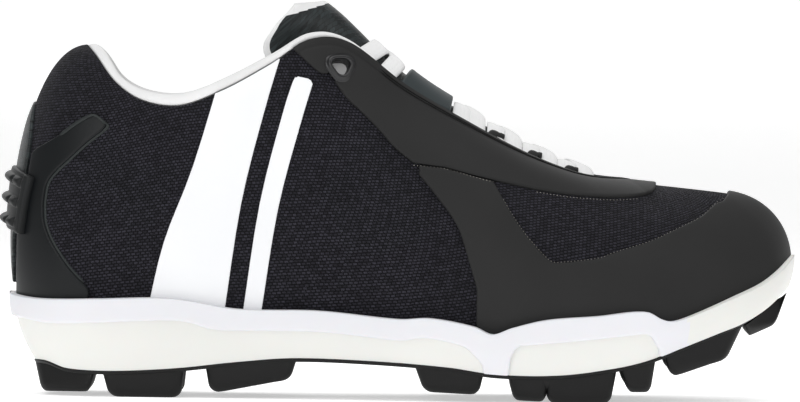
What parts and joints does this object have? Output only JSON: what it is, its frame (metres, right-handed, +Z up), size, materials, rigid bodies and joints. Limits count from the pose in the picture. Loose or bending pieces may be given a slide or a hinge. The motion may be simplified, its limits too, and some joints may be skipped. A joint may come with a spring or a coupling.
{
  "type": "softball cleat",
  "caption": "Low-cut laced softball cleat for the right foot, a hollow mesh and synthetic upper on a foam midsole and a studded rubber outsole.",
  "frame": {"origin": "on the floor, under the middle of the shoe's box", "axes": "+X to the toe, +Y to the inner side of this right shoe, +Z up"},
  "size_m": [0.2858, 0.0996, 0.143],
  "materials": {
    "mesh_fabric": "coarse woven mesh, matte",
    "foam_band": "moulded foam, smooth satin",
    "foam_lower": "moulded foam, smooth satin",
    "outsole_rubber": "moulded rubber, fine grain",
    "sockliner": "knitted, matte",
    "smooth_synthetic": "smooth coated synthetic, matte",
    "textured_strip": "coated twill, satin",
    "counter_synthetic": "smooth coated synthetic, satin",
    "white_film": "welded film, satin",
    "heel_moulding": "moulded, satin",
    "white_lining": "brushed knit, soft",
    "keeper_synthetic": "smooth, satin",
    "lace": "flat braid, matte",
    "grommet_plastic": "moulded, glossy"
  },
  "bodies": {
    "root": {"upper": "mesh_fabric", "midsole_frame": "foam_band", "midsole_rear": "foam_lower", "midsole_fore": "foam_lower", "outsole": "outsole_rubber", "insole": "sockliner", "mudguard": "smooth_synthetic", "eyestay": "smooth_synthetic", "backstay": "textured_strip", "heel_counter_lateral": "counter_synthetic", "heel_counter_medial": "counter_synthetic", "quarter_panel_lateral": "white_film", "quarter_bar_lateral": "white_film", "quarter_panel_medial": "white_film", "quarter_bar_medial": "white_film", "heel_ribs": "heel_moulding", "collar_lining": "white_lining", "tongue": "textured_strip", "lace_keeper": "keeper_synthetic", "lace_crossing_1": "lace", "lace_crossing_2": "lace", "lace_crossing_3": "lace", "lace_crossing_4": "lace", "lace_crossing_5": "lace", "grommet_lateral": "grommet_plastic", "grommet_medial": "grommet_plastic"}
  },
  "joints": []
}
